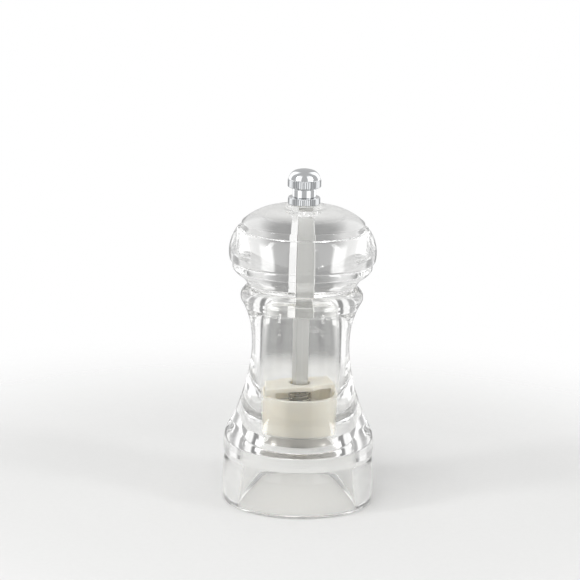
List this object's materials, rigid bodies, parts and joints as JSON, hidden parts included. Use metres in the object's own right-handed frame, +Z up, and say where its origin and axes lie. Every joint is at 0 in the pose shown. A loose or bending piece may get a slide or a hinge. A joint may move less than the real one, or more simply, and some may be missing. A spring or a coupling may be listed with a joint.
{
  "type": "pepper mill",
  "caption": "Hand pepper mill: clear acrylic barrel and turning head on a square shaft, a knurled top nut that sets the grind, and a plastic burr mechanism in the hollow foot.",
  "frame": {"origin": "centre of the foot ring, on the table", "axes": "+Z up along the shaft, +X along the bridge of the grinder housing"},
  "size_m": [0.0538, 0.0538, 0.1189],
  "materials": {
    "clear_acrylic": "polished clear acrylic",
    "chrome_plate": "bright chrome plating",
    "drawn_aluminium": "drawn bar with fine lengthwise lines",
    "cream_acetal": "moulded, satin gloss",
    "spring_steel": "bright drawn wire",
    "plain_steel": "zinc plated"
  },
  "bodies": {
    "barrel": {"acrylic_body": "clear_acrylic", "grinder_housing": "cream_acetal", "retaining_ring": "drawn_aluminium", "burr_ring": "cream_acetal"},
    "drive": {"rotor_spring": "spring_steel", "thrust_washer": "plain_steel"},
    "spindle": {"drive_shaft": "drawn_aluminium", "grinder_rotor": "cream_acetal", "rotor_washer": "plain_steel", "rotor_screw": "plain_steel"},
    "head": {"acrylic_head": "clear_acrylic", "knurled_collar": "chrome_plate"},
    "nut": {"adjusting_nut": "chrome_plate"}
  },
  "joints": [
    {"name": "mill_turn", "type": "hinge", "parent": "barrel", "child": "drive", "pos_m": [0, 0, 0.038], "axis": [0, 0, 1], "continuous": true},
    {"name": "grind_adjust", "type": "slide", "parent": "drive", "child": "spindle", "axis": [0, 0, 1], "range_m": [-0.00105, 0.00035], "deforming": ["rotor_spring"]},
    {"name": "head_lift", "type": "slide", "parent": "drive", "child": "head", "axis": [0, 0, 1], "range_m": [0, 0.05]},
    {"name": "nut_turn", "type": "hinge", "parent": "head", "child": "nut", "pos_m": [0, 0, 0.112], "axis": [0, 0, 1], "range_deg": [-180, 540]}
  ],
  "couplings": [
    {"joint": "nut_turn", "follows": "grind_adjust", "rad_per_m": -8975}
  ]
}
